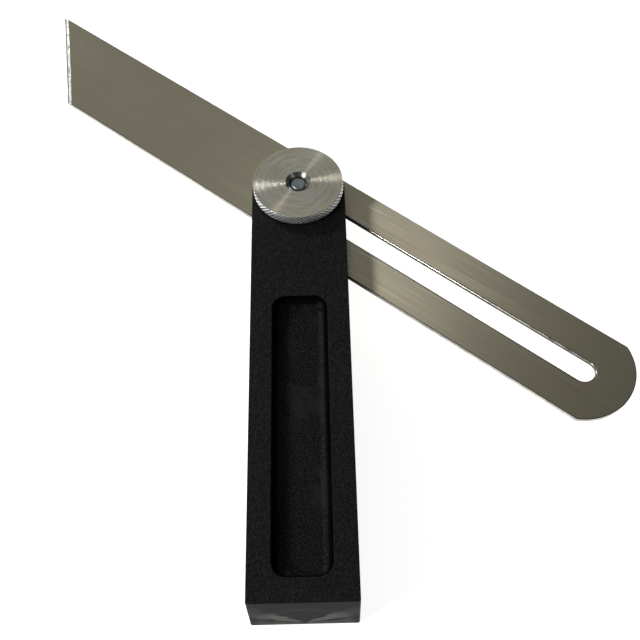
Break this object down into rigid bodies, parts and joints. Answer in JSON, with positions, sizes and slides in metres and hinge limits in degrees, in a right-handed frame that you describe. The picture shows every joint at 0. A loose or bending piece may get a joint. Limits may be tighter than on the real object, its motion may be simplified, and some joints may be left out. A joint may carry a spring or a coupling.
{
  "type": "sliding bevel",
  "caption": "Adjustable angle gauge: a slotted, mitred steel blade turns and slides in the kerf of a moulded stock and is clamped by a round knurled nut.",
  "frame": {"origin": "on the pivot axis, where it meets the plane of the stock's back face, on the flush screw head", "axes": "+Z out of the front face towards the nut, -Y along the stock to its butt, +X to the right seen from the front"},
  "size_m": [0.1581, 0.1905, 0.0206],
  "materials": {
    "stock_plastic": "moulded black plastic with a fine grained skin",
    "blade_steel": "satin, brushed along the blade, edges softened",
    "screw_steel": "bright blue-grey zinc plate",
    "nut_zinc": "turned face with fine rings, zinc plated, diamond knurled rim",
    "washer_plastic": "smooth black nylon"
  },
  "bodies": {
    "stock": {"stock": "stock_plastic", "clamp_screw": "screw_steel"},
    "blade_washers": {"front_blade_washer": "washer_plastic", "back_blade_washer": "washer_plastic"},
    "blade": {"blade": "blade_steel"},
    "nut_washer": {"nut_washer": "screw_steel"},
    "nut": {"clamp_nut": "nut_zinc"}
  },
  "joints": [
    {"name": "blade_swing", "type": "hinge", "parent": "stock", "child": "blade_washers", "pos_m": [0, 0, 0.0114], "axis": [0, 0, 1], "range_deg": [-51.3, 115]},
    {"name": "blade_slide", "type": "slide", "parent": "blade_washers", "child": "blade", "axis": [0.7804, -0.6252, 0], "range_m": [-0.09, 0.0045]},
    {"name": "nut_lift", "type": "slide", "parent": "stock", "child": "nut_washer", "axis": [0, 0, 1], "range_m": [0, 0.0016]},
    {"name": "nut_turn", "type": "hinge", "parent": "nut_washer", "child": "nut", "pos_m": [0, 0, 0.0191], "axis": [0, 0, 1], "range_deg": [0, 720]}
  ],
  "couplings": [
    {"joint": "nut_lift", "follows": "nut_turn", "m_per_rad": 0.00012732}
  ]
}
